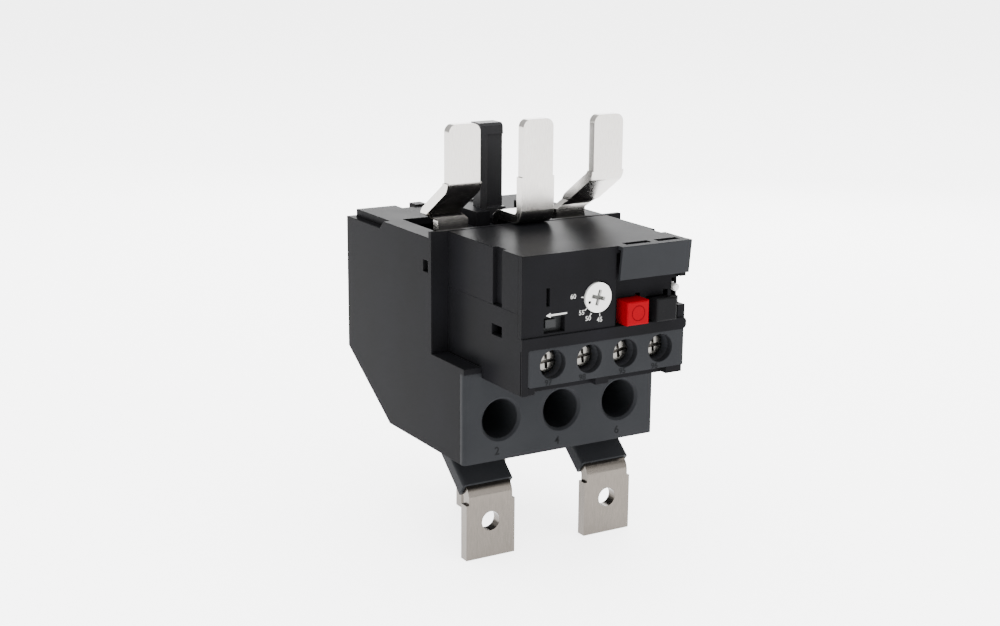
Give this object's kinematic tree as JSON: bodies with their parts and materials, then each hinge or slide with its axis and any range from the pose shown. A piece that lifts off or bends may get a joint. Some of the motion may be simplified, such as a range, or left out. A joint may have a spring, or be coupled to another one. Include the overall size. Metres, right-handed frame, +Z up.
{
  "type": "thermal overload relay",
  "caption": "Black and grey motor protection relay that hangs under a contactor by plated blades, with a setting dial, push buttons, control screws and load tabs",
  "frame": {"origin": "middle of the bounding box in X and Y, at the lowest point, the tips of the load tabs", "axes": "+X across the poles to the right seen from the dial, +Y from the dial panel to the rear, +Z up along the supply blades"},
  "size_m": [0.06, 0.0914, 0.1166],
  "materials": {
    "black_housing": "moulded thermoset, soft sheen",
    "grey_cover": "moulded nylon, fine matt texture",
    "plated_blade": "copper with bright tin plating",
    "plated_tab": "copper with satin tin plating",
    "zinc_steel": "zinc plated steel",
    "heater_alloy": "resistance alloy strip",
    "bimetal": "rolled bimetal strip",
    "slide_plastic": "natural nylon",
    "white_plastic": "white acetal",
    "red_plastic": "red moulded cap, semi gloss",
    "black_plastic": "black moulded cap, semi gloss",
    "flag_plastic": "orange signal plastic",
    "contact_brass": "stamped brass",
    "spring_steel": "drawn spring wire"
  },
  "bodies": {
    "frame": {"base_housing": "black_housing", "mechanism_housing": "black_housing", "mechanism_lid": "black_housing", "dial_panel": "black_housing", "coupling_hook": "black_housing", "terminal_cover": "grey_cover", "control_cover": "grey_cover", "marker_flap": "grey_cover", "tab_sleeve_left": "grey_cover", "tab_sleeve_right": "grey_cover", "supply_blade_left": "plated_blade", "supply_blade_middle": "plated_blade", "supply_blade_right": "plated_blade", "load_tab_left": "plated_tab", "load_tab_middle": "plated_tab", "load_tab_right": "plated_tab", "power_screws": "zinc_steel", "power_nuts": "zinc_steel", "control_screws": "zinc_steel", "control_clamps": "zinc_steel", "lever_pin": "zinc_steel", "heater_left": "heater_alloy", "heater_middle": "heater_alloy", "heater_right": "heater_alloy", "bimetal_left": "bimetal", "bimetal_middle": "bimetal", "bimetal_right": "bimetal", "fixed_contact_97": "contact_brass", "fixed_contact_98": "contact_brass", "fixed_contact_95": "contact_brass", "fixed_contact_96": "contact_brass", "stop_spring": "spring_steel", "reset_spring": "spring_steel", "test_spring": "spring_steel"},
    "dial": {"setting_dial": "white_plastic"},
    "stop": {"stop_button": "red_plastic"},
    "reset": {"reset_button": "black_plastic"},
    "test": {"test_slider": "black_plastic"},
    "selector": {"mode_selector": "white_plastic"},
    "main_slide": {"trip_slide": "slide_plastic"},
    "second_slide": {"differential_slide": "slide_plastic"},
    "lever": {"trip_lever": "slide_plastic"},
    "carrier": {"contact_carrier": "slide_plastic", "trip_flag": "flag_plastic", "closing_bridge": "contact_brass", "opening_bridge": "contact_brass"}
  },
  "joints": [
    {"name": "dial_turn", "type": "hinge", "parent": "frame", "child": "dial", "pos_m": [-0.0025, -0.0433, 0.0754], "axis": [0, -1, 0], "range_deg": [-22, 73]},
    {"name": "stop_press", "type": "slide", "parent": "frame", "child": "stop", "axis": [0, 1, 0], "range_m": [0, 0.0018], "stiffness_N_per_m": 700, "springref_m": -0.0005, "deforming": ["stop_spring"]},
    {"name": "reset_press", "type": "slide", "parent": "frame", "child": "reset", "axis": [0, 1, 0], "range_m": [0, 0.0018], "stiffness_N_per_m": 700, "springref_m": -0.0005, "deforming": ["reset_spring"]},
    {"name": "test_slide", "type": "slide", "parent": "frame", "child": "test", "axis": [-1, 0, 0], "range_m": [0, 0.0008], "stiffness_N_per_m": 400, "springref_m": -0.0005, "deforming": ["test_spring"]},
    {"name": "selector_shift", "type": "slide", "parent": "frame", "child": "selector", "axis": [0, 0, 1], "range_m": [-0.0013, 0.0013]},
    {"name": "main_slide_shift", "type": "slide", "parent": "frame", "child": "main_slide", "axis": [1, 0, 0], "range_m": [0, 0.0012], "stiffness_N_per_m": 300, "springref_m": -0.0003},
    {"name": "second_slide_shift", "type": "slide", "parent": "frame", "child": "second_slide", "axis": [1, 0, 0], "range_m": [0, 0.0012]},
    {"name": "lever_turn", "type": "hinge", "parent": "frame", "child": "lever", "pos_m": [0.011, -0.0183, 0.081], "axis": [0, -1, 0], "range_deg": [0, 10]},
    {"name": "carrier_drop", "type": "slide", "parent": "frame", "child": "carrier", "axis": [0, 0, -1], "range_m": [0, 0.00185]}
  ],
  "couplings": [
    {"joint": "second_slide_shift", "follows": "main_slide_shift", "ratio": 1},
    {"joint": "lever_turn", "follows": "main_slide_shift", "rad_per_m": 145.3},
    {"joint": "carrier_drop", "follows": "main_slide_shift", "ratio": 1.5401}
  ]
}
